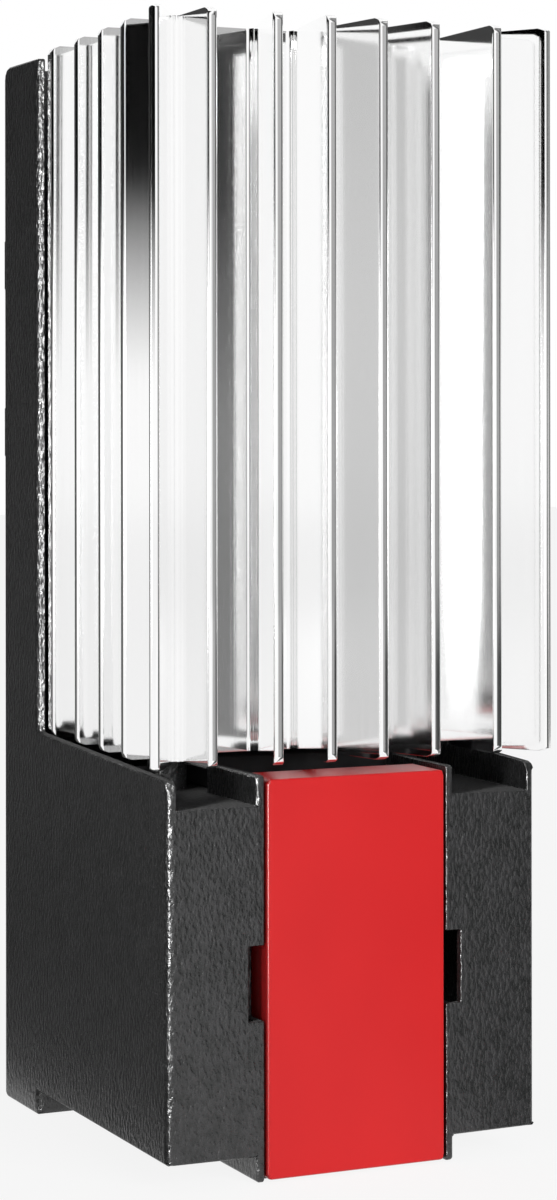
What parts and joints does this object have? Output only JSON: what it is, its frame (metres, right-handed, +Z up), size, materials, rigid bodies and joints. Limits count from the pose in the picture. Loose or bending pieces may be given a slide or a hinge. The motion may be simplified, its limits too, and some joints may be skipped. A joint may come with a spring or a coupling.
{
  "type": "enclosure heater",
  "caption": "Convection heater for a control cabinet: finned aluminium extrusion on a moulded terminal box with a snap-in cover and a rail clip",
  "frame": {"origin": "middle of the footprint, on the plane the heater stands on", "axes": "+X to the right seen from the front, -Y to the front with the cover, +Z up along the fins"},
  "size_m": [0.0654, 0.0742, 0.169],
  "materials": {
    "black_moulding": "spark-eroded grain",
    "red_moulding": "polished moulding",
    "extruded_aluminium": "bright extruded",
    "heating_ceramic": "sintered",
    "insulating_film": "amber film",
    "nickel_plated_brass": "nickel plated",
    "zinc_plated_steel": "zinc plated",
    "spring_steel": "tempered strip",
    "black_silicone": "moulded silicone",
    "grey_polyamide": "satin moulding",
    "brown_insulation": "extruded insulation",
    "blue_insulation": "extruded insulation",
    "green_yellow_insulation": "extruded insulation"
  },
  "bodies": {
    "root": {"housing": "black_moulding", "cable_clamp": "black_moulding", "terminal_cover": "red_moulding", "heatsink": "extruded_aluminium", "clamp_wedge": "extruded_aluminium", "ptc_stone_1": "heating_ceramic", "ptc_stone_2": "heating_ceramic", "ptc_stone_3": "heating_ceramic", "insulating_film_front": "insulating_film", "insulating_film_rear": "insulating_film", "electrode_front": "nickel_plated_brass", "electrode_rear": "nickel_plated_brass", "clamp_cage_live": "nickel_plated_brass", "clamp_cage_earth": "nickel_plated_brass", "clamp_cage_neutral": "nickel_plated_brass", "clamp_screw_live": "nickel_plated_brass", "clamp_screw_earth": "nickel_plated_brass", "clamp_screw_neutral": "nickel_plated_brass", "earth_lug": "nickel_plated_brass", "block_screw": "zinc_plated_steel", "sink_screw_left": "zinc_plated_steel", "sink_screw_right": "zinc_plated_steel", "back_screw_left": "zinc_plated_steel", "back_screw_right": "zinc_plated_steel", "clamp_bar_screw_left": "zinc_plated_steel", "clamp_bar_screw_right": "zinc_plated_steel", "clip_screw_lower": "zinc_plated_steel", "clip_screw_upper": "zinc_plated_steel", "rail_clip": "spring_steel", "core_socket": "black_silicone", "core_cap": "black_silicone", "terminal_block": "grey_polyamide", "lead_live": "brown_insulation", "lead_neutral": "blue_insulation", "lead_earth": "green_yellow_insulation"}
  },
  "joints": []
}
